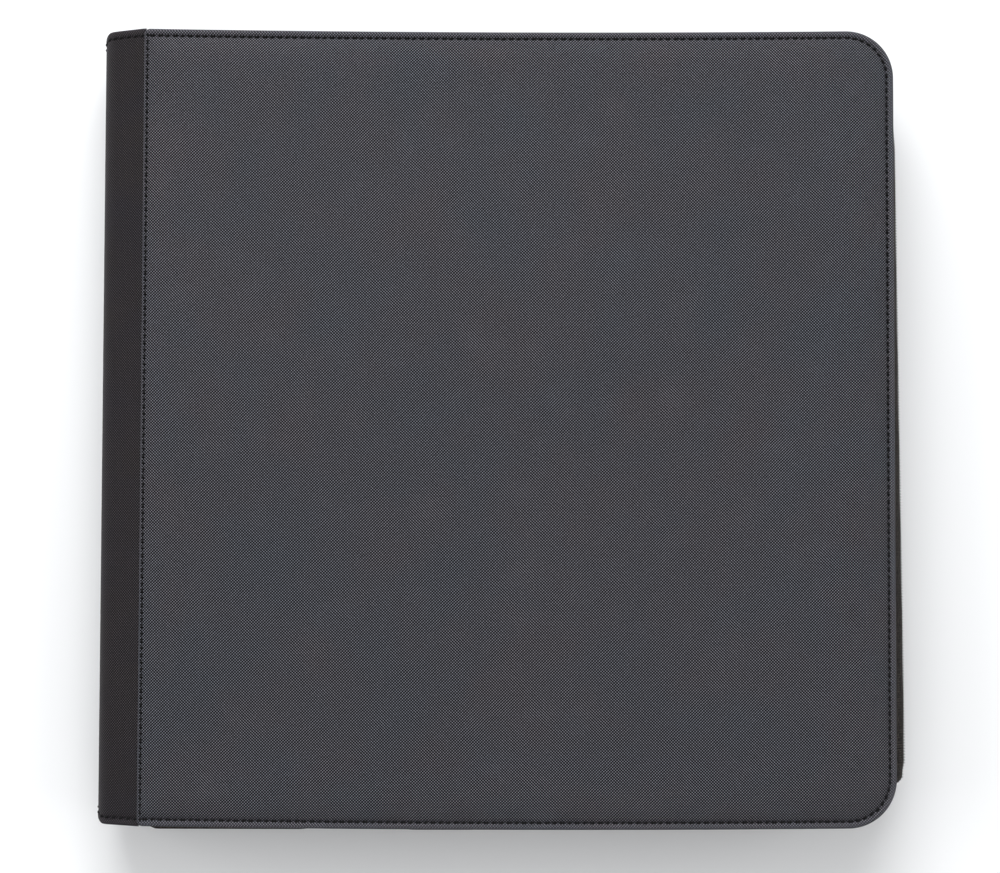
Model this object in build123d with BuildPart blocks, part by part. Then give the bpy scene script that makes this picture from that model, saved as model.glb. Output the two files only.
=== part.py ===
from build123d import *
from math import atan2, cos, sin
import os

# A zip-around padded album for trading cards, lying shut on its back cover.
# X runs from the spine to the opening edge, Y along the spine, Z up. Millimetres.

# Room left free round the leaves: at their loose edge, at both ends, and over and under them.
loose_edge_room = 17.6
end_room = 17.7
leaf_room = 3.785

# Covers: a wrapped skin over padding and board, lined inside.
seam_reach = 19.1
corner_radius = 22.0
seam_corner_radius = 2.5
skin_thickness = 1.0
padding_thickness = 1.8
board_thickness = 1.8
lining_thickness = 1.0
hem_width = 5.15
board_clearance = 0.15

# Spine panel, and the two folds that join it to the covers.
binding_room = 0.5
spine_board_thickness = 2.0
spine_lining_thickness = 0.6
fold_lining_thickness = 0.6
spine_end_hem = 4.0
hinge_clearance = 0.15

# Pocket leaves: a middle sheet with a strip of film for each column on both sides.
leaf_count = 18
leaf_pitch = 1.42
sheet_thickness = 0.25
film_thickness = 0.10
pocket_gap = 0.32
pocket_columns = 4
pocket_rows = 3
pocket_width = 67.0
pocket_height = 92.0
weld_width = 6.0
strip_gap = 0.6
binding_margin = 20.0
binding_depth = 3.7
root_clearance = 0.3

# Zip: tape walls between the covers, coil rows meeting at the middle, end stops.
tape_thickness = 0.6
tape_clearance = 0.15
tape_start = 1.0
coil_width = 2.4
coil_height = 2.8
coil_gap = 0.1
stop_length = 1.6
stop_width = 2.8

# Slider and its pull, parked at the shut end of the zip.
slider_length = 12.0
slider_height = 10.0
slider_plate = 1.0
slider_channel = 3.2
slider_slot = 1.2
slider_lip = 1.0
slider_corner_radius = 2.0
slider_neck_length = 3.0
slider_neck_height = 3.0
slider_park_clearance = 0.3
bridge_length = 3.2
bridge_height = 3.0
bridge_depth = 2.9
pull_pin_radius = 0.55
pull_pin_clearance = 0.12
pull_arm_width = 1.3
pull_arm_clearance = 0.25
pull_plate_thickness = 1.4
pull_plate_start = 3.4
pull_plate_length = 11.0
grip_start = 8.0
grip_length = 34.0
grip_height = 8.4
grip_thickness = 2.2
grip_corner_radius = 2.0

# Sizes that follow: the leaves set the case, which the covers and the zip close round them.
board_z = skin_thickness + padding_thickness
lining_z = board_z + board_thickness
cover_thickness = lining_z + lining_thickness
hem_inset = skin_thickness + hem_width
tape_inset = hem_inset + tape_clearance
lining_inset = tape_inset + tape_thickness + tape_clearance
zip_line_inset = tape_inset + tape_thickness / 2
zip_zone = zip_line_inset + coil_width / 2
column_pitch = pocket_width + weld_width
row_pitch = pocket_height + weld_width
strip_thickness = film_thickness + pocket_gap
leaf_thickness = sheet_thickness + 2 * strip_thickness
leaf_width = binding_margin + pocket_columns * column_pitch
leaf_height = pocket_rows * row_pitch
leaf_stack = (leaf_count - 1) * leaf_pitch + leaf_thickness
spine_thickness = skin_thickness + spine_board_thickness + spine_lining_thickness
root_depth = spine_thickness + binding_depth + root_clearance
case_width = root_depth + leaf_width + loose_edge_room + zip_zone
case_height = leaf_height + 2 * (end_room + zip_zone)
case_thickness = leaf_stack + 2 * (leaf_room + cover_thickness)

# Places that follow, with the case centred on X and Y and its underside at Z = 0.
half_width = case_width / 2
half_height = case_height / 2
middle_z = case_thickness / 2
seam_x = -half_width + seam_reach
cover_width = half_width - seam_x
cover_centre_x = (half_width + seam_x) / 2
binding_height = leaf_count * leaf_pitch - leaf_pitch / 2
spine_panel_height = binding_height + 2 * binding_room
fold_drop = middle_z - spine_panel_height / 2 - hinge_clearance
fold_angle = atan2(fold_drop, seam_reach)
spine_inner_x = -half_width + spine_thickness
root_x = -half_width + root_depth
tape_start_x = seam_x + zip_zone + coil_width / 2 + tape_start
tape_line_y = -half_height + zip_line_inset
coil_z = middle_z - coil_gap - coil_height
slider_x = tape_start_x + stop_length + slider_park_clearance + slider_length / 2
plate_face_y = tape_line_y - slider_channel / 2 - slider_plate
pivot_y = plate_face_y - bridge_depth / 2 - pull_pin_clearance

# The back cover is built up from the table. The front cover is the same, built down from the top.
sides = (
    ("back", Plane.XY, Plane.XZ),
    (
        "front",
        Plane(origin=(0, 0, case_thickness), x_dir=(1, 0, 0), z_dir=(0, 0, -1)),
        Plane(origin=(0, 0, case_thickness), x_dir=(1, 0, 0), z_dir=(0, 1, 0)),
    ),
)


def cover_plan(inset):
    """Outline of a cover seen from above, drawn in by inset all round."""
    with BuildSketch(mode=Mode.PRIVATE) as plan:
        with Locations((cover_centre_x, 0)):
            Rectangle(cover_width - 2 * inset, case_height - 2 * inset)
        outer_corners = plan.vertices().sort_by(Axis.X)[-2:]
        fillet(outer_corners, corner_radius - inset)
        seam_corners = plan.vertices().sort_by(Axis.X)[:2]
        fillet(seam_corners, max(seam_corner_radius - inset, 0.4))
    return plan.sketch


def zip_run(width, start_x):
    """Plan of a strip that follows the zip line along three edges, from start_x on both long runs."""
    outside = zip_line_inset - width / 2
    with BuildSketch(mode=Mode.PRIVATE) as run:
        add(cover_plan(outside))
        add(cover_plan(outside + width), mode=Mode.SUBTRACT)
        with Locations((start_x, 0)):
            Rectangle(case_width, 2 * case_height, align=(Align.MAX, Align.CENTER), mode=Mode.SUBTRACT)
    return run.sketch


def fold_layer(inner, outer):
    """Section of one layer of a fold, between two depths under its outer face, cut clear of its neighbours."""
    run_x = cos(fold_angle)
    run_z = -sin(fold_angle)
    overrun = case_thickness
    corners = []
    for along, depth in ((-overrun, outer), (overrun, outer), (overrun, inner), (-overrun, inner)):
        corners.append((
            -half_width + along * run_x - depth * run_z,
            fold_drop + along * run_z + depth * run_x,
        ))
    with BuildSketch(mode=Mode.PRIVATE) as section:
        Polygon(*corners, align=None)
        with Locations((seam_x - hinge_clearance, fold_drop - hinge_clearance)):
            Rectangle(case_width, case_width, align=(Align.MAX, Align.MAX), mode=Mode.INTERSECT)
    return section.sketch


os.makedirs("parts", exist_ok=True)

for side, base, section_plane in sides:
    # Skin: the outer face, its edge, and the hem turned in over the board.
    with BuildPart() as skin:
        with BuildSketch(base):
            add(cover_plan(0))
        extrude(amount=cover_thickness)
        with BuildSketch(base.offset(skin_thickness)):
            add(cover_plan(skin_thickness))
        extrude(amount=padding_thickness + board_thickness, mode=Mode.SUBTRACT)
        with BuildSketch(base.offset(lining_z)):
            add(cover_plan(hem_inset))
        extrude(amount=lining_thickness, mode=Mode.SUBTRACT)
    skin.part.label = f"{side}_skin"
    export_step(skin.part, f"parts/{side}_skin.step")

    # Foam padding under the skin.
    with BuildPart() as padding:
        with BuildSketch(base.offset(skin_thickness)):
            add(cover_plan(skin_thickness))
        extrude(amount=padding_thickness)
    padding.part.label = f"{side}_padding"
    export_step(padding.part, f"parts/{side}_padding.step")

    # Stiff board behind the foam.
    with BuildPart() as board:
        with BuildSketch(base.offset(board_z)):
            add(cover_plan(skin_thickness + board_clearance))
        extrude(amount=board_thickness)
    board.part.label = f"{side}_board"
    export_step(board.part, f"parts/{side}_board.step")

    # Inside lining, within the zip line.
    with BuildPart() as lining:
        with BuildSketch(base.offset(lining_z)):
            add(cover_plan(lining_inset))
        extrude(amount=lining_thickness)
    lining.part.label = f"{side}_lining"
    export_step(lining.part, f"parts/{side}_lining.step")

    # Zip tape: a wall held at the board's edge, up to its coil.
    with BuildPart() as zip_tape:
        with BuildSketch(base.offset(lining_z)):
            add(zip_run(tape_thickness, tape_start_x))
        extrude(amount=coil_z - lining_z)
    zip_tape.part.label = f"{side}_zip_tape"
    export_step(zip_tape.part, f"parts/{side}_zip_tape.step")

    # Coil row on the tape's edge. It ends at the slider on one long edge and at the stop on the other.
    with BuildPart() as zip_coil:
        with BuildSketch(base.offset(coil_z)):
            add(zip_run(coil_width, tape_start_x + stop_length))
        extrude(amount=coil_height)
        with BuildSketch(Plane.XY.offset(coil_z)):
            with Locations((slider_x + slider_length / 2 + slider_park_clearance, tape_line_y)):
                Rectangle(case_width, 4 * coil_width, align=(Align.MAX, Align.CENTER))
        extrude(amount=case_thickness - 2 * coil_z, mode=Mode.SUBTRACT)
    zip_coil.part.label = f"{side}_zip_coil"
    export_step(zip_coil.part, f"parts/{side}_zip_coil.step")

    # Fold between the cover and the spine: skin outside, lining inside.
    fold = {"back": "rear_fold", "front": "front_fold"}[side]
    with BuildPart() as fold_skin:
        with BuildSketch(section_plane):
            add(fold_layer(0, skin_thickness))
        extrude(amount=half_height, both=True)
    fold_skin.part.label = f"{fold}_skin"
    export_step(fold_skin.part, f"parts/{fold}_skin.step")

    with BuildPart() as fold_lining:
        with BuildSketch(section_plane):
            add(fold_layer(skin_thickness, skin_thickness + fold_lining_thickness))
        extrude(amount=half_height - spine_end_hem, both=True)
    fold_lining.part.label = f"{fold}_lining"
    export_step(fold_lining.part, f"parts/{fold}_lining.step")

# Zip stops: one crimp at each end of the back tape, past the coil and the parked slider.
with BuildPart() as zip_stops:
    with Locations(
        (tape_start_x + stop_length / 2, tape_line_y, coil_z + coil_height / 2),
        (tape_start_x + stop_length / 2, -tape_line_y, coil_z + coil_height / 2),
    ):
        Box(stop_length, stop_width, coil_height)
zip_stops.part.label = "zip_stops"
export_step(zip_stops.part, "parts/zip_stops.step")

# Spine skin, board and lining, one behind the other.
with BuildPart() as spine_skin:
    with Locations((-half_width, 0, middle_z)):
        Box(skin_thickness, case_height, spine_panel_height, align=(Align.MIN, Align.CENTER, Align.CENTER))
spine_skin.part.label = "spine_skin"
export_step(spine_skin.part, "parts/spine_skin.step")

with BuildPart() as spine_board:
    with Locations((-half_width + skin_thickness, 0, middle_z)):
        Box(
            spine_board_thickness,
            case_height - 2 * spine_end_hem,
            spine_panel_height,
            align=(Align.MIN, Align.CENTER, Align.CENTER),
        )
spine_board.part.label = "spine_board"
export_step(spine_board.part, "parts/spine_board.step")

with BuildPart() as spine_lining:
    with Locations((spine_inner_x - spine_lining_thickness, 0, middle_z)):
        Box(
            spine_lining_thickness,
            case_height - 2 * spine_end_hem,
            spine_panel_height,
            align=(Align.MIN, Align.CENTER, Align.CENTER),
        )
spine_lining.part.label = "spine_lining"
export_step(spine_lining.part, "parts/spine_lining.step")

# Page binding: the strip that holds the roots of all the leaves.
with BuildPart() as page_binding:
    with Locations((spine_inner_x, 0, middle_z)):
        Box(
            binding_depth,
            leaf_height,
            binding_height,
            align=(Align.MIN, Align.CENTER, Align.CENTER),
        )
page_binding.part.label = "page_binding"
export_step(page_binding.part, "parts/page_binding.step")

# Leaves: each has a middle sheet, and on both faces a film strip for each column of pockets.
# A pocket is open towards the spine, where its card slides in.
for number in range(1, leaf_count + 1):
    leaf_z = middle_z + (number - (leaf_count + 1) / 2) * leaf_pitch
    with BuildPart() as leaf:
        with Locations((root_x, 0, leaf_z)):
            Box(leaf_width, leaf_height, sheet_thickness, align=(Align.MIN, Align.CENTER, Align.CENTER))
    leaf.part.label = f"leaf_{number:02d}"
    export_step(leaf.part, f"parts/leaf_{number:02d}.step")

    with BuildPart() as pockets:
        strip_offset = sheet_thickness / 2 + strip_thickness / 2
        first_strip_x = root_x + binding_margin + strip_gap
        with Locations((first_strip_x, 0, leaf_z - strip_offset), (first_strip_x, 0, leaf_z + strip_offset)):
            with Locations([(column * column_pitch, 0, 0) for column in range(pocket_columns)]):
                Box(
                    column_pitch - strip_gap,
                    leaf_height,
                    strip_thickness,
                    align=(Align.MIN, Align.CENTER, Align.CENTER),
                )
                with GridLocations(0, row_pitch, 1, pocket_rows):
                    Box(
                        pocket_width,
                        pocket_height,
                        pocket_gap,
                        align=(Align.MIN, Align.CENTER, Align.CENTER),
                        mode=Mode.SUBTRACT,
                    )
    pockets.part.label = f"leaf_{number:02d}_pockets"
    export_step(pockets.part, f"parts/leaf_{number:02d}_pockets.step")

# Slider: two plates with lips round the coil, joined by a neck, and a bridge for the pull.
with BuildPart() as slider_body:
    with Locations((slider_x, tape_line_y, middle_z)):
        Box(slider_length, slider_channel + 2 * slider_plate, slider_height)
        fillet(slider_body.edges().filter_by(Axis.Y), slider_corner_radius)
        Box(slider_length, slider_channel, slider_height - 2 * slider_lip, mode=Mode.SUBTRACT)
        Box(slider_length, slider_slot, slider_height, mode=Mode.SUBTRACT)
    with Locations((slider_x - slider_length / 2 + slider_neck_length / 2, tape_line_y, middle_z)):
        Box(slider_neck_length, slider_channel, slider_neck_height)
    with Locations((slider_x, plate_face_y, middle_z)):
        Box(bridge_length, bridge_depth, bridge_height, align=(Align.CENTER, Align.MAX, Align.CENTER))
    with Locations((slider_x, pivot_y, middle_z)):
        Cylinder(pull_pin_radius + pull_pin_clearance, bridge_height, mode=Mode.SUBTRACT)
slider_body.part.label = "slider_body"
export_step(slider_body.part, "parts/slider_body.step")

# Pull tab: a pin through the bridge, an arm each side of it, and a plate towards the grip.
arm_offset = bridge_height / 2 + pull_arm_clearance + pull_arm_width / 2
tab_height = bridge_height + 2 * (pull_arm_clearance + pull_arm_width)
with BuildPart() as pull_tab:
    with Locations((slider_x, pivot_y, middle_z)):
        Cylinder(pull_pin_radius, tab_height)
        with Locations((0, 0, -arm_offset), (0, 0, arm_offset)):
            Box(
                pull_plate_start + pull_arm_width,
                pull_plate_thickness,
                pull_arm_width,
                align=(Align.MIN, Align.CENTER, Align.CENTER),
            )
            Cylinder(pull_plate_thickness / 2, pull_arm_width)
        with Locations((pull_plate_start, 0, 0)):
            Box(
                pull_plate_length,
                pull_plate_thickness,
                tab_height,
                align=(Align.MIN, Align.CENTER, Align.CENTER),
            )
pull_tab.part.label = "pull_tab"
export_step(pull_tab.part, "parts/pull_tab.step")

# Grip: a moulded sleeve pushed over the tab's plate.
with BuildPart() as pull_grip:
    with Locations((slider_x + grip_start, pivot_y, middle_z)):
        Box(grip_length, grip_thickness, grip_height, align=(Align.MIN, Align.CENTER, Align.CENTER))
        fillet(pull_grip.edges().filter_by(Axis.Y), grip_corner_radius)
        Box(
            pull_plate_start + pull_plate_length - grip_start,
            pull_plate_thickness,
            tab_height,
            align=(Align.MIN, Align.CENTER, Align.CENTER),
            mode=Mode.SUBTRACT,
        )
pull_grip.part.label = "pull_grip"
export_step(pull_grip.part, "parts/pull_grip.step")
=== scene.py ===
import math

import bmesh
import bpy
import numpy as np
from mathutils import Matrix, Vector


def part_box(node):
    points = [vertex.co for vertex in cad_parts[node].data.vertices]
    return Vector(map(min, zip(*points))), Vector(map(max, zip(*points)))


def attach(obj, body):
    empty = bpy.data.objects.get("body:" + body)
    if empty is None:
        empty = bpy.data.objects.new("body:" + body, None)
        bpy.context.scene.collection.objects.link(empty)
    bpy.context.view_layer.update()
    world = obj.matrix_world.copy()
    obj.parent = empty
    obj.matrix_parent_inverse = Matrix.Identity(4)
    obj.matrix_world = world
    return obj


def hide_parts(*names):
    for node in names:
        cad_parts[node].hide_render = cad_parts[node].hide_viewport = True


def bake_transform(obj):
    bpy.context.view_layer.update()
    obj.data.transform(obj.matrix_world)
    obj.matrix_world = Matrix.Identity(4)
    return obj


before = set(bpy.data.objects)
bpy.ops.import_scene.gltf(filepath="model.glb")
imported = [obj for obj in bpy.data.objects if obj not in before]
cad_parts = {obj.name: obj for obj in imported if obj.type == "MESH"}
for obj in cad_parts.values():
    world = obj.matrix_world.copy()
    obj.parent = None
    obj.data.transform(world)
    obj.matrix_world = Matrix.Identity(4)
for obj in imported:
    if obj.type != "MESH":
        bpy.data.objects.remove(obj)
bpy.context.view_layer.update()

# Boards. Grey millboard stiffens each cover and the spine. It is die cut, and it lies hidden
# between the padding and the lining. The spine's board shows at its ends, so it is dyed black.
# It is skived thin along both long edges.


class Wire:
    """One output of a material's nodes. Sums and products of wires add Math nodes."""

    def __init__(self, tree, socket=None):
        self.tree, self.socket = tree, socket

    def node(self, kind, settings=(), sockets=(), output=0):
        """Any node: its type, its settings, then the values or wires of its sockets."""
        made = self.tree.nodes.new(kind)
        for name, value in dict(settings).items():
            setattr(made, name, value)
        for name, value in dict(sockets).items():
            if isinstance(value, Wire):
                self.tree.links.new(value.socket, made.inputs[name])
            else:
                made.inputs[name].default_value = value
        return Wire(self.tree, made.outputs[output] if len(made.outputs) else None)

    def math(self, operation, other=0.0):
        """A Math node that takes this wire first."""
        return self.node("ShaderNodeMath", {"operation": operation}, {0: self, 1: other})

    def __add__(self, other):
        return self.math("ADD", other)

    __radd__ = __add__

    def __sub__(self, other):
        return self.math("SUBTRACT", other)

    def __rsub__(self, other):
        return self.node("ShaderNodeMath", {"operation": "SUBTRACT"}, {0: other, 1: self})

    def __mul__(self, other):
        return self.math("MULTIPLY", other)

    __rmul__ = __mul__

    def __truediv__(self, other):
        return self.math("DIVIDE", other)

    def __pow__(self, other):
        return self.math("POWER", other)

    def within(self, low=0.0, high=1.0):
        return self.math("MAXIMUM", low).math("MINIMUM", high)

    def parts(self):
        """Its x, y and z."""
        return [self.node("ShaderNodeSeparateXYZ", {}, {"Vector": self}, k) for k in range(3)]

    def noise(self, scale, detail=2.0):
        """Slow or fine random shade, from this wire's coordinates."""
        return self.node(
            "ShaderNodeTexNoise", {}, {"Vector": self, "Scale": scale, "Detail": detail})

    def between(self, low, high):
        """A colour from low to high, by this wire's value. Each is a colour or another wire."""
        low, high = (c if isinstance(c, Wire) else (*c, 1.0) for c in (low, high))
        return self.node("ShaderNodeMix", {"data_type": "RGBA"}, {0: self, 6: low, 7: high}, 2)

    def bump(self, strength, height):
        """A normal from this wire's value, height metres high."""
        return self.node(
            "ShaderNodeBump", {}, {"Strength": strength, "Distance": height, "Height": self})


def new_finish(name):
    made = bpy.data.materials.new(name)
    made.use_nodes = True
    made.node_tree.nodes.clear()
    return made, Wire(made.node_tree)


def lay_on(start, sockets):
    shader = start.node("ShaderNodeBsdfPrincipled", {}, sockets)
    start.node("ShaderNodeOutputMaterial", {}, {"Surface": shader})


def object_place(start):
    """Where a point lies in the frame, in metres."""
    return start.node("ShaderNodeTexCoord", output=3)


def cloth_place(start):
    """Where a point lies in its cloth, in millimetres: along, across and in from the edge."""
    return start.node("ShaderNodeAttribute", {"attribute_name": "cloth"}, output=1)


def cad_finish(names, finish):
    for name in names:
        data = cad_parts[name].data
        data.materials.clear()
        data.materials.append(finish)


mm = 0.001
sharp_edge = math.radians(50)


def box_mm(node):
    low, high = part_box(node)
    return [c / mm for c in low], [c / mm for c in high]


def make_piece(name, points, faces, finishes, shade=0, cloth=None, smooth=True):
    """A mesh from points in millimetres. shade is each face's finish, cloth the weave's lie."""
    data = bpy.data.meshes.new(name)
    data.from_pydata((np.asarray(points, float) * mm).tolist(), [], faces)
    for finish in finishes:
        data.materials.append(finish)
    data.polygons.foreach_set(
        "material_index", np.broadcast_to(shade, len(faces)).astype(np.int32))
    if cloth is not None:
        data.attributes.new("cloth", "FLOAT_VECTOR", "POINT").data.foreach_set(
            "vector", np.asarray(cloth, np.float32).ravel())
    shell = bmesh.new()
    shell.from_mesh(data)
    bmesh.ops.recalc_face_normals(shell, faces=shell.faces)
    shell.to_mesh(data)
    shell.free()
    data.polygons.foreach_set("use_smooth", np.full(len(faces), smooth))
    data.set_sharp_from_angle(angle=sharp_edge)
    made = bpy.data.objects.new(name, data)
    bpy.context.scene.collection.objects.link(made)
    return made


def loft(rings, count, closed=True):
    """Quads between rings of count points each."""
    last = count if closed else count - 1
    i, j = np.meshgrid(np.arange(rings - 1), np.arange(last), indexing="ij")
    here, there = i * count + j, i * count + (j + 1) % count
    return np.stack([here, there, there + count, here + count], -1).reshape(-1, 4).tolist()




def end_caps(rings, count):
    """The two flat faces that close a loft."""
    last = (rings - 1) * count
    return [list(range(count)), list(range(last, last + count))]


def board_finish(name, dark, light):
    """Pressed paper board with a mottled, fibrous face."""
    made, start = new_finish(name)
    fibre = object_place(start).noise(900.0, 4.0)
    lay_on(start, {"Base Color": fibre.between(dark, light), "Roughness": 0.9,
                   "Normal": fibre.bump(0.4, 0.0002)})
    return made


grey_board = board_finish("grey_board", (0.16, 0.15, 0.14), (0.25, 0.235, 0.21))
dyed_board = board_finish("dyed_board", (0.007, 0.007, 0.0075), (0.02, 0.02, 0.021))
cad_finish(["back_board"], grey_board)

(spine_x, _, fold_foot), _ = box_mm("spine_skin")
(board_out, board_near, board_foot), (board_in, board_far, board_head) = box_mm("spine_board")
(seam_x, near_y, _), (edge_x, far_y, case_top) = box_mm("front_skin")
middle_z = case_top / 2
skin_thick = board_out - spine_x
fold_length = math.hypot(seam_x - spine_x, fold_foot)
fold_lean = math.atan2(fold_foot, seam_x - spine_x)
spine_bend = 11.0
bend_reach = spine_bend * math.tan((math.pi / 2 - fold_lean) / 2)
bend_x, bend_z = spine_x + spine_bend, fold_foot + bend_reach
skive_gap, skive_reach, board_trim = 0.1, 9.0, 0.05
skive_bend = spine_bend - skin_thick - skive_gap


def skive(z):
    """How far out the spine's board reaches at a height below its bend."""
    return max(board_out, bend_x - math.sqrt(skive_bend ** 2 - min(bend_z - z, skive_reach) ** 2))


skived = [(skive(z), z) for z in np.linspace(board_foot + board_trim, bend_z, 8)]
section = skived + [(x, case_top - z) for x, z in reversed(skived)]
section += [(board_in, board_head - board_trim), (board_in, board_foot + board_trim)]
count = len(section)
spine_board = make_piece(
    "spine_board_skived", [(x, y, z) for y in (board_near, board_far) for x, z in section],
    loft(2, count) + end_caps(2, count), [dyed_board], smooth=False)
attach(spine_board, "spine")
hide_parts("spine_board")

# Covers. Two panels of coated cloth with a coarse two-tone weave, drawn over foam and board.
# The cloth turns in round the edge as a hem, and a row of stitches 3 mm inside the edge, or
# just inside the fold on the spine side, holds it down. The front's long edges sag a little.
corner_radius, seam_radius = 20.8, 2.5
edge_steps, side_steps, seam_steps, corner_steps, seam_corner_steps = 370, 376, 424, 44, 6
stitch_inset, seam_stitch_inset = 3.1, 1.3
stitch_pitch, seam_pitch = 3.25, 3.05
# Ring by ring: inset and rise on the zip sides, then on the seam side, and how much of the
# edge's settling the ring takes.
rim = np.array([
    (6.10, 0.90, 6.10, 0.90, 0.0), (6.15, 0.45, 6.15, 0.45, 0.0), (6.00, 0.08, 6.00, 0.08, 0.0),
    (5.00, 0.00, 5.00, 0.00, 0.0), (2.50, 0.00, 2.50, 0.00, 0.3), (0.80, 0.05, 0.60, 0.05, 0.6),
    (0.25, 0.30, 0.15, 0.30, 0.8), (0.03, 0.90, 0.00, 0.90, 0.9), (0.00, 2.20, 0.00, 2.20, 1.0),
    (0.00, 3.60, 0.00, 3.60, 1.0), (0.06, 4.60, 0.00, 4.70, 1.0), (0.25, 5.20, 0.08, 5.25, 1.0),
    (0.60, 5.52, 0.25, 5.62, 1.0), (1.10, 5.68, 0.48, 5.80, 1.0), (1.70, 5.68, 0.72, 5.80, 1.0),
    (2.25, 5.50, 0.92, 5.62, 1.0), (2.70, 5.15, 1.10, 5.35, 1.0), (3.10, 4.85, 1.30, 5.12, 1.0),
    (3.50, 5.08, 1.52, 5.35, 1.0), (3.95, 5.42, 1.80, 5.62, 1.0), (4.60, 5.72, 2.30, 5.84, 1.0),
    (5.60, 6.02, 3.20, 6.06, 1.0), (7.20, 6.36, 4.80, 6.34, 1.0), (10.0, 6.76, 7.50, 6.68, 1.0),
    (15.0, 7.06, 12.0, 6.98, 1.0)])
groove_ring, ridge_ring = 17, 13
pad_steps = np.array([0.93, 0.86, 0.78, 0.70, 0.61, 0.52, 0.42, 0.32, 0.21, 0.10])
pad_rise = 7.15
pad_inset = 20.0
inner_shares = (0.0, 0.35, 0.7)
rim_ripple, pad_ripple = 0.02, 0.03
pucker_rise, pucker_rings = 0.16, 2.2
front_proud, front_settle = 2.0, 1.0
back_proud, back_settle = 0.0, 0.35
edge_settle = 1.2
thick = case_top - box_mm("front_skin")[0][2]


def walk(seam_inset, inset):
    """Points and outward directions round a cover, the same number at every inset."""
    left, right, near, far = seam_x + seam_inset, edge_x - inset, near_y + inset, far_y - inset
    big = max(corner_radius - inset, 1.0)
    small = max(seam_radius - max(seam_inset, inset), 0.4)
    bends = [(left + small, near + small, small, 180, seam_corner_steps, edge_steps),
             (right - big, near + big, big, 270, corner_steps, side_steps),
             (right - big, far - big, big, 0, corner_steps, edge_steps),
             (left + small, far - small, small, 90, seam_corner_steps, seam_steps)]
    points, outward = [], []
    for k, (x, y, radius, turn, steps, run) in enumerate(bends):
        angle = np.radians(np.linspace(turn, turn + 90, steps))
        facing = np.stack([np.cos(angle), np.sin(angle)], 1)
        bend = np.array([x, y]) + radius * facing
        x, y, radius, turn, _, _ = bends[(k + 1) % 4]
        turned = math.radians(turn)
        ahead = np.array([x, y]) + radius * np.array([math.cos(turned), math.sin(turned)])
        share = np.linspace(0, 1, run + 1, endpoint=False)[1:, None]
        points += [bend, bend[-1] + (ahead - bend[-1]) * share]
        outward += [facing, np.repeat(facing[-1:], run, 0)]
    return np.concatenate(points), np.concatenate(outward)


def settled(x, share):
    """How far a long edge of a cover sags towards the near side, between its corners."""
    across = (x - (seam_x + edge_x) / 2) / ((edge_x - seam_x) / 2)
    return -edge_settle * share * np.clip(1 - across ** 2, 0, 1)


def length_along(points):
    steps = np.linalg.norm(np.diff(points, axis=0), axis=1)
    return np.concatenate([[0], np.cumsum(steps)])


ripples = np.random.default_rng(7).uniform(0, 1, (14, 4))


def ripple(x, y):
    """A slight unevenness of the drawn cloth."""
    lift = np.zeros_like(x)
    for size, turn, phase, much in ripples:
        wave = 2 * math.pi / (38 + 90 * size)
        way = x * math.cos(6.3 * turn) + y * math.sin(6.3 * turn)
        lift += much * np.sin(wave * way + 6.3 * phase)
    return lift


def padded_cover(name, finish, front, proud, settle):
    groove, facing = walk(seam_stitch_inset, stitch_inset)
    at_seam = np.clip(-facing[:, 0], 0, 1)
    along = length_along(groove)
    pucker = np.where(at_seam > 0.5, np.cos(2 * math.pi * groove[:, 1] / seam_pitch),
                      np.cos(2 * math.pi * along / stitch_pitch))
    points, weave = [], []
    centre = np.array([(seam_x + edge_x) / 2, (near_y + far_y) / 2])
    ridge, _ = walk(rim[ridge_ring, 2], rim[ridge_ring, 0])
    rolled = length_along(rim[:, :2])
    inner, _ = walk(rim[0, 2], rim[0, 0])
    for share in inner_shares:
        flat = centre + (inner - centre) * share
        points.append(np.column_stack([flat, np.full(len(flat), rim[0, 1])]))
        weave.append(np.column_stack([flat, np.zeros(len(flat))]))
    for k, (inset, rise, seam_inset, seam_rise, share) in enumerate(rim):
        flat, _ = walk(seam_inset, inset)
        height = rise + (seam_rise - rise) * at_seam
        near_stitch = math.exp(-((k - groove_ring) / pucker_rings) ** 2)
        height = height + pucker_rise * near_stitch * pucker
        if k > groove_ring:
            uneven = rim_ripple * ripple(flat[:, 0], flat[:, 1])
            height = height + uneven * min(1, (k - groove_ring) / 4)
        laid = ridge + facing * (rolled[ridge_ring] - rolled[k]) if k < ridge_ring else flat
        sag = settled(flat[:, 0], share * settle)
        moved = flat + np.column_stack([np.zeros(len(flat)), sag])
        points.append(np.column_stack([moved, height]))
        weave.append(np.column_stack([laid, np.full(len(flat), inset)]))
    pad, _ = walk(rim[-1, 2], rim[-1, 0])
    for share in (*pad_steps, 0.0):
        flat = centre + (pad - centre) * share
        height = pad_rise + (rim[-1, 1] - pad_rise) * share ** 4
        height = height + pad_ripple * ripple(flat[:, 0], flat[:, 1])
        moved = flat + np.column_stack([np.zeros(len(flat)), settled(flat[:, 0], settle)])
        points.append(np.column_stack([moved, height]))
        weave.append(np.column_stack([flat, np.full(len(flat), pad_inset)]))
    rings, count = len(points), len(groove)
    # The first and last rings are each one point.
    solid = np.concatenate([points[0][:1], *points[1:-1], points[-1][:1]])
    lie = np.concatenate([weave[0][:1], *weave[1:-1], weave[-1][:1]])
    solid[:, 2] = np.minimum(solid[:, 2], thick + proud)
    inside = case_top - thick
    solid[:, 2] = inside + solid[:, 2] if front else case_top - inside - solid[:, 2]
    faces = (np.array(loft(rings - 2, count)) + 1).tolist()
    ends = 1 + (rings - 3) * count
    faces += [[0, 1 + (j + 1) % count, 1 + j] for j in range(count)]
    faces += [[len(solid) - 1, ends + j, ends + (j + 1) % count] for j in range(count)]
    return make_piece(name, solid, faces, [finish], cloth=lie)


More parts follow.
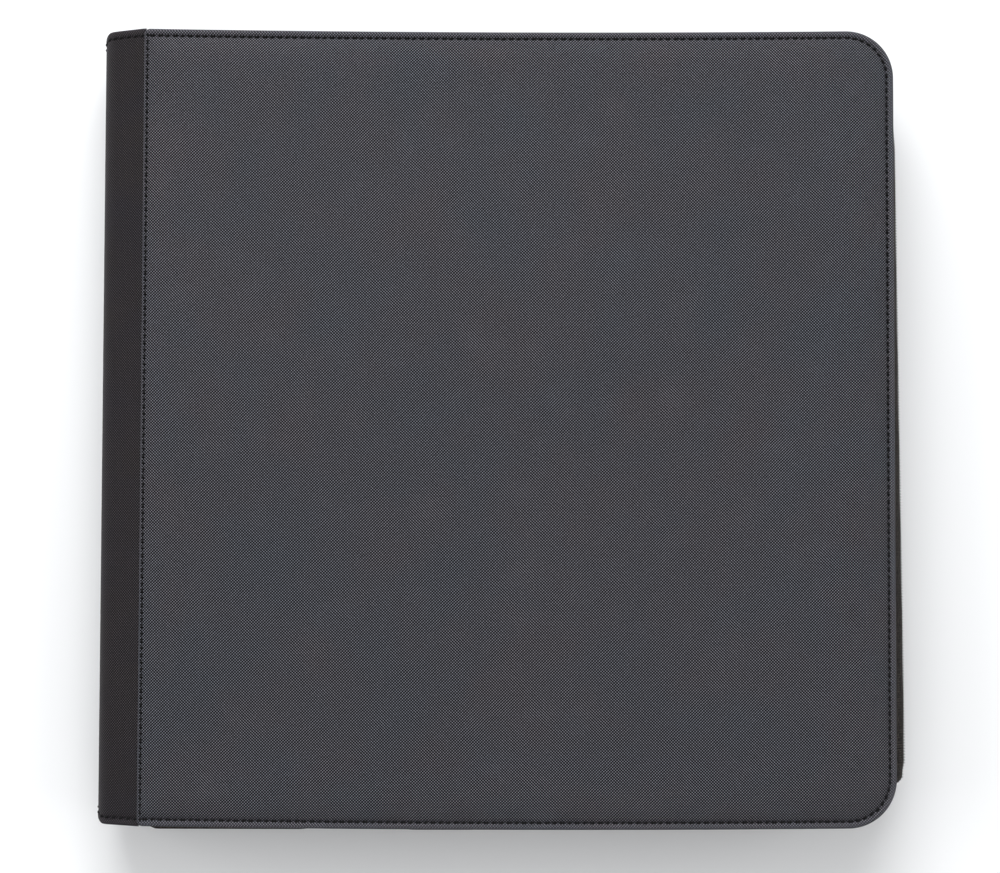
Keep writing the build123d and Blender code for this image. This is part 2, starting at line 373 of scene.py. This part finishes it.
def weave_finish(name, dark, light, warm, depth, rough, gloss, hem_highlight):
    """Coated cloth: light knuckles of yarn in a diagonal lattice on a dark ground, and a painted
    highlight on the hem band.
    """
    made, start = new_finish(name)
    place = cloth_place(start)
    x, y, inset = place.parts()
    sway = yarn_sway * (place.noise(0.35, 2.0) - 0.5)
    turn = 2 * math.pi / yarn_pitch
    lean = ((place.noise(0.045, 3.0) - 0.5) * 1.7).within(-0.4, 0.4)
    up = ((x + y + sway) * turn).math("COSINE")
    down = ((x - y - sway) * turn).math("COSINE")
    knuckle = 0.5 + 0.25 * ((1 + lean) * up + (1 - lean) * down)
    fleck = place.noise(1.3, 3.0)
    slow = place.noise(0.012, 2.0)
    bright = (knuckle ** knuckle_power * (0.5 + fleck)).within()
    # Painted highlight: the cloth's colour is lightened on the hem band, from the edge in to the
    # stitch row, to stand for light on its rounded crest.
    hem = (1.0 - (inset - hem_end) / 0.5).within() * (1.0 - (hem_roll - inset) / hem_roll).within()
    shade = bright * (0.94 + 0.1 * slow) * (1 + hem_highlight * hem)
    cast = ((place.noise(0.03, 3.0) - 0.5) * 2.4 + 0.5).within()
    colour = shade.between(dark, cast.between(light, warm))
    lay_on(start, {"Base Color": colour, "Roughness": rough - 0.12 * bright,
                   "Specular IOR Level": gloss,
                   "Normal": (knuckle + 0.3 * fleck).bump(depth, 0.00018)})
    return made


yarn_pitch, yarn_sway, knuckle_power = 1.26, 0.22, 3.8
hem_end, hem_roll = 2.6, 0.15
cover_dark = (0.0004, 0.0004, 0.0006)
cover_cool, cover_warm = (0.262, 0.274, 0.318), (0.29, 0.272, 0.302)
cover_cloth = weave_finish(
    "cover_weave", cover_dark, cover_cool, cover_warm,
    depth=0.3, rough=0.66, gloss=0.08, hem_highlight=0.35)
front_cover = padded_cover("front_cover_cloth", cover_cloth, True, front_proud, front_settle)
back_cover = padded_cover("back_cover_cloth", cover_cloth, False, back_proud, back_settle)
(board_start, _, board_low), (board_end, _, board_high) = box_mm("front_board")
flat, _ = walk(board_start - seam_x, edge_x - board_end)
flat[:, 1] += settled(flat[:, 0], front_settle)
count = len(flat)
front_board = make_piece(
    "front_board_panel", [(x, y, z) for z in (board_low, board_high) for x, y in flat],
    loft(2, count) + end_caps(2, count), [grey_board], smooth=False)
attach(front_board, "front_cover")
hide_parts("front_board")
for cover, side in ((front_cover, "front"), (back_cover, "back")):
    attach(cover, side + "_cover")
    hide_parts(side + "_skin", side + "_padding")

# Stitching. Black lockstitch in thick bonded thread, one row round each cover and one down
# each seam. Every stitch slants a little and dives into its own needle holes.
thread_radius = 0.52
stitch_length, seam_stitch_length = 2.3, 1.95
thread_slant = math.radians(12)
lowest_thread = 0.75
thread_sides = 7
thread_bow, thread_dive, thread_proud = 0.16, 0.75, 0.28
seam_row_margin = 0.9
thread_black, thread_worn = (0.0012, 0.0012, 0.0014), (0.006, 0.006, 0.0065)
thread, start = new_finish("bonded_thread")
fibre = object_place(start).noise(2600.0, 3.0)
lay_on(start, {"Base Color": fibre.between(thread_black, thread_worn), "Roughness": 0.55,
               "Specular IOR Level": 0.12, "Normal": fibre.bump(0.5, 0.0001)})


def sew(name, centres, along, up, length):
    """Short bowed lengths of thread, one at each centre."""
    centres, along, up = (np.asarray(a, float) for a in (centres, along, up))
    across = np.cross(up, along)
    along = along * math.cos(thread_slant) + across * math.sin(thread_slant)
    across = np.cross(up, along)
    reach = np.array([-1.0, -0.9, -0.6, 0.0, 0.6, 0.9, 1.0])
    fat = thread_radius * np.array([0.35, 0.8, 1.0, 1.05, 1.0, 0.8, 0.35])
    sink = -thread_dive * reach ** 4 + thread_bow
    turn = 2 * math.pi * np.arange(thread_sides) / thread_sides
    points = []
    for r, f, s in zip(reach, fat, sink):
        for t in turn:
            points.append(centres + along * (r * length / 2)
                          + up * (s + f * math.sin(t)) + across * (f * math.cos(t)))
    points = np.stack(points, 1)
    each = len(reach) * thread_sides
    one = loft(len(reach), thread_sides) + end_caps(len(reach), thread_sides)
    faces = [[i + k * each for i in face] for k in range(len(centres)) for face in one]
    return make_piece(name, points.reshape(-1, 3), faces, [thread])


def even_steps(line, pitch, margin):
    """Places and directions every pitch along a line of points."""
    run = length_along(line)
    room = run[-1] - 2 * margin
    stops = margin + (np.arange(int(room / pitch)) + 0.5) * room / int(room / pitch)

    def spots(s):
        return np.column_stack([np.interp(s, run, line[:, k]) for k in range(line.shape[1])])

    along = spots(stops + 0.2) - spots(stops - 0.2)
    return spots(stops), along / np.linalg.norm(along, axis=1)[:, None]


def sew_cover(side, front, settle):
    groove, facing = walk(seam_stitch_inset, stitch_inset)
    at_seam = facing[:, 0] < -0.5
    edge, seam = groove[~at_seam], groove[at_seam]
    seam = np.array([(seam[np.argmin(seam[:, 1]), 0], y)
                     for y in (near_y + seam_row_margin, far_y - seam_row_margin)])
    _, edge_rise, _, seam_rise, _ = rim[groove_ring]
    for part, line, rise, pitch, length in (
            ("edge", edge, edge_rise, stitch_pitch, stitch_length),
            ("seam", seam, seam_rise, seam_pitch, seam_stitch_length)):
        spots, along = even_steps(line, pitch, 0.4)
        spots[:, 1] += settled(spots[:, 0], settle)
        level = thick - rise - thread_proud
        height = case_top - level if front else max(level, lowest_thread)
        up = np.tile([0.0, 0.0, 1.0 if front else -1.0], (len(spots), 1))
        centres = np.column_stack([spots, np.full(len(spots), height)])
        along = np.column_stack([along, np.zeros(len(spots))])
        row = sew(side + "_stitches_" + part, centres, along, up, length)
        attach(row, side + "_cover")


sew_cover("front", True, front_settle)
sew_cover("back", False, back_settle)

# Spine. One wide strip of the same cloth, pressed smoother, runs from under one cover's seam,
# over the rear fold, round the spine board and over the front fold. Its colours are painted
# darker than the covers' to stand for the shade on the sloping spine. Its ends are hemmed and
# stitched, and a thin black lining is glued inside it. It is made in lengths, one to a hinge.
spine_dark = (0.0008, 0.0007, 0.0008)
# Painted shade: the spine's cloth colours are set darker than the covers' to stand for the shade on
# the spine's slopes.
spine_shaded_cool, spine_shaded_warm = (0.098, 0.086, 0.102), (0.106, 0.089, 0.091)
spine_shaded_cloth = weave_finish(
    "spine_weave_shaded", spine_dark, spine_shaded_cool, spine_shaded_warm,
    depth=0.22, rough=0.55, gloss=0.08, hem_highlight=0.35)
lining_black, lining_fleck = (0.006, 0.006, 0.007), (0.022, 0.022, 0.024)


def lining_finish(name, coordinates, scale):
    """Thin black lining paper with a fine pebbled grain."""
    made, start = new_finish(name)
    place = coordinates(start)
    grain = place.noise(2.2 * scale, 4.0)
    pebble = place.node("ShaderNodeTexVoronoi", {}, {"Vector": place, "Scale": 1.6 * scale})
    lay_on(start, {"Base Color": (0.7 * grain + 0.3 * pebble).between(lining_black, lining_fleck),
                   "Roughness": 0.5 + 0.2 * grain, "Specular IOR Level": 0.3,
                   "Normal": (pebble + 0.4 * grain).bump(0.35, 0.00012)})
    return made


cloth_lining = lining_finish("strip_lining", cloth_place, 1.0)
flat_lining = lining_finish("cover_lining", object_place, 1000.0)
cad_finish(["back_lining", "front_lining"], flat_lining)

fold_way = np.array([-math.cos(fold_lean), math.sin(fold_lean)])
fold_out = np.array([-math.sin(fold_lean), -math.cos(fold_lean)])
fold_sunk, seam_tuck, seam_soft = 0.35, 0.9, 3.0
(lining_out_x, _, _), (lining_in_x, _, _) = box_mm("spine_lining")
lining_thick, spine_stack = lining_in_x - lining_out_x, lining_in_x - spine_x
run_steps, turn_steps = 14, 16


def rounded(corners, radius):
    """Three corners joined by a line whose middle corner is rounded, with outward directions."""
    a, b, c = (np.array(p, float) for p in corners)
    before, after = np.linalg.norm(b - a), np.linalg.norm(c - b)
    to, away = (b - a) / before, (c - b) / after
    turn = math.acos(np.clip(to @ away, -1, 1))
    reach = min(radius * math.tan(turn / 2), 0.9 * before, 0.9 * after)
    radius = reach / math.tan(turn / 2)

    def outward(way):
        return np.array([-way[1], way[0]])

    first, last = b - to * reach, b + away * reach
    middle = first - outward(to) * radius
    points = [a + (first - a) * s for s in np.linspace(0, 1, run_steps, endpoint=False)]
    facing = [outward(to)] * run_steps
    for s in np.linspace(0, 1, turn_steps):
        way = (1 - s) * turn
        side = math.sin(way) * outward(to) + math.sin(turn - way) * outward(away)
        side = side / math.sin(turn)
        points.append(middle + radius * side)
        facing.append(side)
    points += [last + (c - last) * s for s in np.linspace(0, 1, run_steps + 1)[1:]]
    facing += [outward(away)] * run_steps
    return np.array(points), np.array(facing), first, last


def strip_corners(on_cover, on_fold, on_spine, start_x):
    """A layer's line from the back cover to mid-spine, in two bends, set in by these depths."""
    foot = np.array([seam_x, 0.0]) - fold_out * on_fold
    seam_corner = foot + fold_way * ((on_cover - foot[1]) / fold_way[1])
    spine_corner = foot + fold_way * ((spine_x + on_spine - foot[0]) / fold_way[0])
    half_way = np.array([seam_x, 0.0]) + fold_way * fold_length / 2 - fold_out * on_fold
    return ([(start_x, on_cover), seam_corner, half_way],
            [half_way, spine_corner, (spine_x + on_spine, middle_z)])


# Distance from the strip's end, and how deep the outer face lies there: hem, stitches, flat.
hem_rows = [(0.0, 0.72), (0.0, 0.4), (0.12, 0.14), (0.45, -0.05), (1.1, -0.14), (1.8, -0.12),
            (2.4, 0.02), (2.8, 0.28), (3.1, 0.46), (3.4, 0.3), (3.9, 0.1), (4.8, 0.02),
            (7.0, 0.0), (12.0, 0.0)]
plain_rows = [(0.0, 0.1), (0.1, 0.0), (3.0, 0.0), (12.0, 0.0)]
strip_rows = 46
spine_end_round = 3.4


def end_pull(x):
    """How far the strip's ends pull in where it turns down over the spine."""
    left = np.clip(spine_end_round - (x - spine_x), 0, spine_end_round)
    return spine_end_round - np.sqrt(spine_end_round ** 2 - left ** 2)


def strip_piece(name, outer, inner, facing, end_gap, rows, finishes, mirrored, run_from):
    inset = [(near_y + end_gap + d, s) for d, s in rows]
    middle = [(y, 0.0) for y in np.linspace(inset[-1][0], -inset[-1][0], strip_rows)[1:-1]]
    across = inset + middle + [(-y, s) for y, s in reversed(inset)]
    run = run_from + length_along(outer)
    run = np.concatenate([run, run[::-1]])
    pull = end_pull(outer[:, 0])
    pull = np.concatenate([pull, pull[::-1]])
    points, lie = [], []
    for y, sink in across:
        ring = np.concatenate([outer - facing * sink, inner[::-1]])
        points.append(np.column_stack([ring[:, 0], y * (1 - pull / far_y), ring[:, 1]]))
        from_end = min(abs(near_y - y), abs(far_y - y))
        lie.append(np.column_stack([run, np.full(len(ring), y), np.full(len(ring), from_end)]))
    points = np.concatenate(points)
    if mirrored:
        points[:, 2] = case_top - points[:, 2]
    count = 2 * len(outer)
    faces = loft(len(across), count)
    for base in (0, (len(across) - 1) * count):
        last = base + count - 1
        faces += [[base + i, base + i + 1, last - 1 - i, last - i] for i in range(len(outer) - 1)]
    return make_piece(name, points, faces, finishes, cloth=np.concatenate(lie))


def across_hinge(piece, first, second, begin, end, mirrored):
    start, stop = ((x * mm, 0.0, (case_top - z if mirrored else z) * mm) for x, z in (begin, end))
    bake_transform(piece)


skin_start, lining_start = seam_x + seam_tuck, seam_x - 0.3
both_thick = skin_thick + lining_thick
skin_out = strip_corners(fold_sunk, fold_sunk, 0.0, skin_start)
skin_in = strip_corners(skin_thick, skin_thick, skin_thick, skin_start)
lining_out = strip_corners(skin_thick, skin_thick, spine_stack - lining_thick, lining_start)
lining_in = strip_corners(both_thick, both_thick, spine_stack, lining_start)
spine_end_gap = 4.0
groove_depth = 0.46
for half, mirrored, cover in (("rear", False, "back_cover"), ("front", True, "front_cover")):
    fold = half + "_fold"
    for place, bend, bodies in ((0, seam_soft, (cover, fold)), (1, spine_bend, (fold, "spine"))):
        label = half + ("_bend" if place else "_seam")
        outer, facing, begin, end = rounded(skin_out[place], bend)
        inner, _, _, _ = rounded(skin_in[place], bend - skin_thick)
        run_from = place * length_along(rounded(skin_out[0], seam_soft)[0])[-1]
        skin = strip_piece(label + "_cloth", outer, inner, facing, 0.0, hem_rows,
                           [spine_shaded_cloth], mirrored, run_from)
        across_hinge(skin, *bodies, begin, end, mirrored)
        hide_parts("spine_skin" if place else fold + "_skin")

        under_bend = bend - skin_thick if place else 1.0
        inmost_bend = max(bend - both_thick, 0.5) if place else 0.5
        under, turned, _, _ = rounded(lining_out[place], under_bend)
        inmost, _, _, _ = rounded(lining_in[place], inmost_bend)
        lining = strip_piece(label + "_lining", under, inmost, turned, spine_end_gap, plain_rows,
                             [cloth_lining], mirrored, run_from)
        across_hinge(lining, *bodies, begin, end, mirrored)
        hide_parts("spine_lining" if place else fold + "_lining")

        spots, along = even_steps(outer, stitch_pitch, 0.1)
        out = np.column_stack([-along[:, 1], along[:, 0]])
        level = spots - out * (groove_depth - thread_proud)
        centres = []
        for y in (near_y + stitch_inset, far_y - stitch_inset):
            pulled = y * (1 - end_pull(spots[:, 0]) / far_y)
            centres.append(np.column_stack([level[:, 0], pulled, level[:, 1]]))
        centres = np.concatenate(centres)
        ways, ups = (np.tile(np.column_stack([a[:, 0], np.zeros(len(a)), a[:, 1]]), (2, 1))
                     for a in (along, out))
        if mirrored:
            centres[:, 2] = case_top - centres[:, 2]
            ways[:, 2], ups[:, 2] = -ways[:, 2], -ups[:, 2]
        row = sew(label + "_stitches", centres, ways, ups, stitch_length)
        across_hinge(row, *bodies, begin, end, mirrored)

# Page binding. The folded roots of the leaves, glued side by side to the spine's lining.
(root_low, root_near, root_foot), (root_high, root_far, root_head) = box_mm("page_binding")
leaf_names = sorted(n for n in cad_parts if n.startswith("leaf_") and not n.endswith("_pockets"))
tab_pitch = (root_head - root_foot) / len(leaf_names)
tab_gap, tab_round, tab_sway = 0.12, 0.45, 0.05
tab_rows = 24
points, faces = [], []
for k in range(len(leaf_names)):
    low = root_foot + k * tab_pitch + tab_gap / 2
    high = root_foot + (k + 1) * tab_pitch - tab_gap / 2
    angles = np.radians(np.linspace(0, 90, 5))
    nose = [(root_high - tab_round + tab_round * math.sin(a),
             low + tab_round - tab_round * math.cos(a)) for a in angles]
    nose += [(x, low + high - z) for x, z in reversed(nose)]
    tab = [(root_low, low), *nose, (root_low, high)]
    base, around = len(points), len(tab)
    for y in np.linspace(root_near, root_far, tab_rows):
        sway = tab_sway * math.sin(y / 19.0 + k) - tab_sway
        points += [(x + (sway if x > root_low else 0.0), y, z) for x, z in tab]
    faces += [[base + i for i in face]
              for face in loft(tab_rows, around) + end_caps(tab_rows, around)]
root_black, root_fleck = (0.005, 0.005, 0.0055), (0.03, 0.03, 0.031)
root_paper, start = new_finish("root_paper")
fibre = object_place(start).noise(1500.0, 4.0)
lay_on(start, {"Base Color": fibre.between(root_black, root_fleck), "Roughness": 0.65,
               "Normal": fibre.bump(0.4, 0.0001)})
binding = make_piece("bound_leaf_roots", points, faces, [root_paper])
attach(binding, "spine")
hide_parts("page_binding")

# Leaves. Each is a black fabric sheet with clear film welded on both faces in four strips of
# three side-loading pockets. The welds show as pressed bands along and across each strip.
sheet_black, sheet_fleck = (0.004, 0.004, 0.0045), (0.02, 0.02, 0.022)
page, start = new_finish("page_sheet")
place = object_place(start)
fibre = place.noise(1800.0, 4.0)
pebble = place.node("ShaderNodeTexVoronoi", {}, {"Vector": place, "Scale": 1500.0})
lay_on(start, {"Base Color": fibre.between(sheet_black, sheet_fleck), "Roughness": 0.6 + 0.2 * fibre,
               "Specular IOR Level": 0.3, "Normal": (pebble + fibre).bump(0.3, 0.0001)})
cad_finish(leaf_names, page)

strip_start, column_pitch, film_width, film_weld = -144.3, 73.0, 72.4, 6.0
row_pitch = 98.0
film, start = new_finish("pocket_film")
place = object_place(start)
x, y, _ = place.parts()
column = ((x / mm - strip_start) / column_pitch).math("FRACT") * column_pitch
row = (y / mm / row_pitch + 2.5).math("FRACT") * row_pitch
weld_x = (column - (film_width - film_weld)).within()
weld_y = (1.0 - (row.math("MINIMUM", row_pitch - row) - film_weld / 2) / 0.3).within()
weld = weld_x.math("MAXIMUM", weld_y)
press = (column * 4.0).math("SINE") * (row * 4.0).math("SINE")
cockle = place.noise(35.0, 2.0)
lay_on(start, {"Base Color": (0.75, 0.77, 0.8, 1.0), "Roughness": 0.06 + 0.3 * weld,
               "Alpha": 0.07 + 0.1 * weld, "Specular IOR Level": 0.5, "Coat Weight": 0.3,
               "Normal": (weld * press * 0.08 + cockle).bump(0.35, 0.0009)})
cad_finish([n + "_pockets" for n in leaf_names], film)

# Zip tapes. Ribbed woven tape is glued under each cover's hem and runs round three sides. It
# stands straight beside the slider's run, and stands out past the covers on the opening edge.
(_, _, back_foot), (_, _, back_head) = box_mm("back_zip_tape")
_, (_, _, tape_head) = box_mm("front_zip_tape")
coil_line = 6.6
tape_half = 0.3
tape_from = seam_x + 1.7
tape_step = 1.6
bulge_places = [-150, -146, -112, 60, 124, 150]
bulge_depths = [11.6, 12.4, 12.2, 10.2, 9.6, 7.6]
near_bulge = 8.6
tape_rows = 15


def zip_line(near_start, far_start, step):
    """The covers' outline: along the near edge, up the opening edge and back along the far one."""
    centre_x, centre_y = edge_x - corner_radius, far_y - corner_radius
    near = np.arange(near_start, centre_x, step)
    far = np.arange(far_start, centre_x, step)[::-1]
    side = np.arange(-centre_y + step / 2, centre_y, step)
    angle = np.radians(np.arange(0, 90, 360 * step / (2 * math.pi * corner_radius)))
    sine, cosine = np.sin(angle), np.cos(angle)
    base = [(near, np.full(len(near), near_y)),
            (centre_x + corner_radius * sine, -centre_y - corner_radius * cosine),
            (np.full(len(side), edge_x), side),
            (centre_x + corner_radius * cosine, centre_y + corner_radius * sine),
            (far, np.full(len(far), far_y))]
    facing = [np.tile([0.0, -1.0], (len(near), 1)), np.column_stack([sine, -cosine]),
              np.tile([1.0, 0.0], (len(side), 1)), np.column_stack([cosine, sine]),
              np.tile([0.0, 1.0], (len(far), 1))]
    return np.concatenate([np.column_stack(b) for b in base]), np.concatenate(facing)


def ease(t):
    t = np.clip(t, 0, 1)
    return t * t * (3 - 2 * t)


def stand_out(base, facing):
    """How far the closed zip stands out from its glued line on the opening edge."""
    turned = np.degrees(np.arctan2(facing[:, 1], facing[:, 0]))
    most = np.interp(base[:, 1], bulge_places, bulge_depths)
    return most * ease((turned + 30) / 30) * ease((60 - turned) / 60)


def near_belly(base, facing):
    """How far the tape bellies out above the slider's run."""
    x = base[:, 0]
    first = ease((x + 160) / 14) * ease((-58 - x) / 26)
    second = ease((x + 52) / 16) * ease((6 - x) / 16)
    return near_bulge * (first + 1.02 * second) * (facing[:, 1] < -0.99)


def tape_inset(base, facing, down):
    """The tape's inset a share of the way down from the cover to the coil."""
    spread = np.sin(math.pi / 2 * np.clip((down - 0.1) / 0.9, 0, 1)) ** 1.15
    belly = math.sin(math.pi * min(max(down - 0.09, 0) / 0.7, 1)) ** 2
    return coil_line - stand_out(base, facing) * spread - near_belly(base, facing) * belly


def zip_tape(name, finish, sewn, hanging):
    base, facing = zip_line(tape_from, tape_from, tape_step)
    down = np.linspace(0, 1, tape_rows)
    run = length_along(base)
    rings, lie = [], []
    for side, shares in ((1, down), (-1, down[::-1])):
        for share in shares:
            ruffle = 0.12 * np.sin(run / 6.0) * share * np.clip(stand_out(base, facing), 0, 1)
            inset = tape_inset(base, facing, share) - side * tape_half + ruffle
            flat = base - facing * inset[:, None]
            height = np.full(len(flat), sewn + (hanging - sewn) * share)
            rings.append(np.column_stack([flat, height]))
            lie.append(np.column_stack([run, np.full(len(run), share * abs(hanging - sewn)),
                                        np.zeros(len(run))]))
    points, lie = np.stack(rings, 1), np.stack(lie, 1)
    around = points.shape[1]
    faces = loft(len(base), around) + end_caps(len(base), around)
    return make_piece(name, points.reshape(-1, 3), faces, [finish], cloth=lie.reshape(-1, 3))


tape_black, tape_brown = (0.0012, 0.001, 0.001), (0.09, 0.076, 0.066)
tape_weave, start = new_finish("zip_tape_weave")
place = cloth_place(start)
x, y, _ = place.parts()
rib = 0.5 + 0.5 * (x * 6.0).math("COSINE")
pick = 0.5 + 0.5 * (y * 9.0).math("COSINE")
yarn = (0.45 * rib + 0.55 * pick) ** 2.0 * (7.0 * place.noise(1.3, 3.0) - 2.7)
lay_on(start, {"Base Color": yarn.within().between(tape_black, tape_brown), "Roughness": 0.8,
               "Specular IOR Level": 0.1, "Normal": (rib + 0.6 * pick).bump(0.5, 0.0002)})
for side, sewn, hanging in (("back", back_foot, back_head),
                            ("front", tape_head, case_top - back_head)):
    tape = zip_tape(side + "_tape_woven", tape_weave, sewn, hanging)
    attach(tape, side + "_cover")
    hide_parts(side + "_zip_tape")

# Zip coils. Each row is one nylon monofilament wound in a flat spiral and sewn to its tape's
# edge, with the two rows half a turn apart so that they lock. The near end starts at the slider.
coil_turn, coil_tube = 1.25, 0.34
coil_wide, coil_tall = 2.4, 2.8
coil_rise = 1.5
tube_sides, turn_points = 6, 10
coil_near = box_mm("slider_body")[1][0] + 0.3
coil_far = box_mm("back_zip_coil")[0][0]
coil_grey, coil_light = (0.02, 0.02, 0.021), (0.17, 0.168, 0.165)
nylon, start = new_finish("coil_nylon")
streak = object_place(start).noise(420.0, 3.0)
lay_on(start, {"Base Color": streak.between(coil_grey, coil_light), "Roughness": 0.25 + 0.2 * streak,
               "Normal": streak.bump(0.2, 0.0001)})
base, facing = zip_line(coil_near, coil_far, 0.8)
line = base - facing * (coil_line - stand_out(base, facing))[:, None]
run = length_along(line)
turns = int(run[-1] / coil_turn)
for side, level, phase in (("back", middle_z - coil_rise, 0.0),
                           ("front", middle_z + coil_rise, math.pi)):
    s = np.linspace(0, run[-1], turns * turn_points + 1)
    angle = 2 * math.pi * s / run[-1] * turns + phase
    centre = np.column_stack([np.interp(s, run, line[:, k]) for k in (0, 1)])
    out = np.column_stack([np.interp(s, run, facing[:, k]) for k in (0, 1)])
    out = np.column_stack([out / np.linalg.norm(out, axis=1)[:, None], np.zeros(len(s))])
    wide, tall = coil_wide / 2 - coil_tube, coil_tall / 2 - coil_tube
    path = np.column_stack([centre, np.full(len(s), level)]) + out * (wide * np.cos(angle))[:, None]
    path[:, 2] += tall * np.sin(angle)
    ahead = np.gradient(path, axis=0)
    ahead /= np.linalg.norm(ahead, axis=1)[:, None]
    one = out * np.cos(angle)[:, None] + np.array([0, 0, 1.0]) * np.sin(angle)[:, None]
    one -= ahead * np.sum(one * ahead, 1)[:, None]
    one /= np.linalg.norm(one, axis=1)[:, None]
    other = np.cross(ahead, one)
    turn = 2 * math.pi * np.arange(tube_sides) / tube_sides
    tube = np.stack([path + coil_tube * (one * math.cos(t) + other * math.sin(t))
                     for t in turn], 1)
    faces = loft(len(s), tube_sides) + end_caps(len(s), tube_sides)
    coil = make_piece(side + "_coil_spiral", tube.reshape(-1, 3), faces, [nylon])
    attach(coil, side + "_cover")
    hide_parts(side + "_zip_coil")

# Slider, pull and stops. Cast zinc with a dark plated finish, rubbed a little brighter where it
# is handled. The two stops are clamped on the tape's edge.
metal_dark, metal_bright = (0.07, 0.07, 0.074), (0.22, 0.22, 0.225)
metal, start = new_finish("dark_plating")
place = object_place(start)
cloud, scratch = place.noise(160.0, 4.0), place.noise(1400.0, 2.0)
lay_on(start, {"Base Color": (0.5 * cloud + 0.5 * scratch).between(metal_dark, metal_bright),
               "Metallic": 1.0, "Roughness": 0.26 + 0.25 * cloud,
               "Normal": scratch.bump(0.15, 0.00008)})
cad_finish(["slider_body", "pull_tab", "zip_stops"], metal)

# Grip. A moulded rubber handle pressed over the pull's plate, with rounded ribs for the fingers.
(grip_left, grip_front, grip_foot), (grip_right, grip_back, grip_head) = box_mm("pull_grip")
grip_ribs, rib_depth, grip_round = 9, 0.22, 2.0
ribs_from, ribs_to = 0.3, 0.9
grip_square = 0.45
rubber_black, rubber_grey = (0.006, 0.006, 0.0065), (0.022, 0.022, 0.023)
rubber, start = new_finish("grip_rubber")
grain = object_place(start).noise(900.0, 4.0)
lay_on(start, {"Base Color": grain.between(rubber_black, rubber_grey), "Roughness": 0.5 + 0.2 * grain,
               "Normal": grain.bump(0.3, 0.0001)})
points = []
stations, around = 120, 24
for x in np.linspace(grip_left, grip_right, stations):
    end = min(x - grip_left, grip_right - x)
    taper = math.sqrt(max(0.0, 1 - (1 - min(end / grip_round, 1)) ** 2))
    tall = (grip_head - grip_foot) / 2 - grip_round * (1 - taper)
    thin = ((grip_back - grip_front) / 2) * (0.35 + 0.65 * taper)
    travel = (x - grip_left) / (grip_right - grip_left)
    if ribs_from < travel < ribs_to:
        share = (travel - ribs_from) / 0.6
        thin -= rib_depth * (0.5 - 0.5 * math.cos(2 * math.pi * grip_ribs * share))
    for t in 2 * math.pi * np.arange(around) / around:
        cy = math.copysign(abs(math.cos(t)) ** grip_square, math.cos(t))
        cz = math.copysign(abs(math.sin(t)) ** grip_square, math.sin(t))
        points.append((x, (grip_front + grip_back) / 2 + thin * cy,
                       (grip_foot + grip_head) / 2 + tall * cz))
faces = loft(stations, around) + end_caps(stations, around)
grip = make_piece("ribbed_grip", points, faces, [rubber])
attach(grip, "pull")
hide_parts("pull_grip")

# Studio: a pale table under wide soft lights, the strongest beyond the far edge.
floor_reach, floor_z = 6.0, -0.0003
floor_data = bpy.data.meshes.new("table")
floor_corners = [(x * floor_reach, y * floor_reach, floor_z)
                 for x, y in ((-1, -1), (1, -1), (1, 1), (-1, 1))]
floor_data.from_pydata(floor_corners, [], [(0, 1, 2, 3)])
floor = bpy.data.objects.new("table", floor_data)
bpy.context.scene.collection.objects.link(floor)
pale, start = new_finish("pale_table")
speck = object_place(start).noise(3.0, 2.0)
lay_on(start, {"Base Color": speck.between((0.9, 0.9, 0.9), (0.93, 0.93, 0.93)), "Roughness": 0.8})
floor_data.materials.append(pale)

world = bpy.data.worlds.new("studio")
world.use_nodes = True
sky = world.node_tree.nodes["Background"].inputs
sky["Color"].default_value, sky["Strength"].default_value = (0.97, 0.98, 1.0, 1.0), 0.46
bpy.context.scene.world = world


def soft_light(name, place, size, power, tint):
    light = bpy.data.lights.new(name, "AREA")
    light.shape, light.size, light.energy, light.color = "SQUARE", size, power, tint
    made = bpy.data.objects.new(name, light)
    made.location = place
    made.rotation_mode = "QUATERNION"
    aim = np.array([0, 0, 0.02]) - np.array(place)
    made.rotation_quaternion = Vector(aim).to_track_quat("-Z", "Y")
    bpy.context.scene.collection.objects.link(made)


soft_light("far_light", (-0.1, 1.55, 1.15), 1.5, 42.0, (0.97, 0.985, 1.0))
soft_light("near_light", (0.5, -2.4, 1.5), 2.0, 7.0, (1.0, 0.99, 0.97))
soft_light("left_light", (-2.4, 0.2, 1.3), 2.0, 26.0, (0.98, 0.99, 1.0))
soft_light("right_light", (2.4, 0.1, 1.5), 2.0, 20.0, (0.98, 0.99, 1.0))

view = bpy.data.cameras.new("camera")
view.sensor_width, view.lens = 36.0, 80.83
view.clip_start, view.clip_end = 0.05, 30.0
camera = bpy.data.objects.new("camera", view)
camera.location = (0.00135, -0.04972, 1.01163)
camera.rotation_euler = (0.0462, -0.0006, 0.0027)
bpy.context.scene.collection.objects.link(camera)
bpy.context.scene.camera = camera
bpy.context.scene.view_settings.view_transform = "Standard"
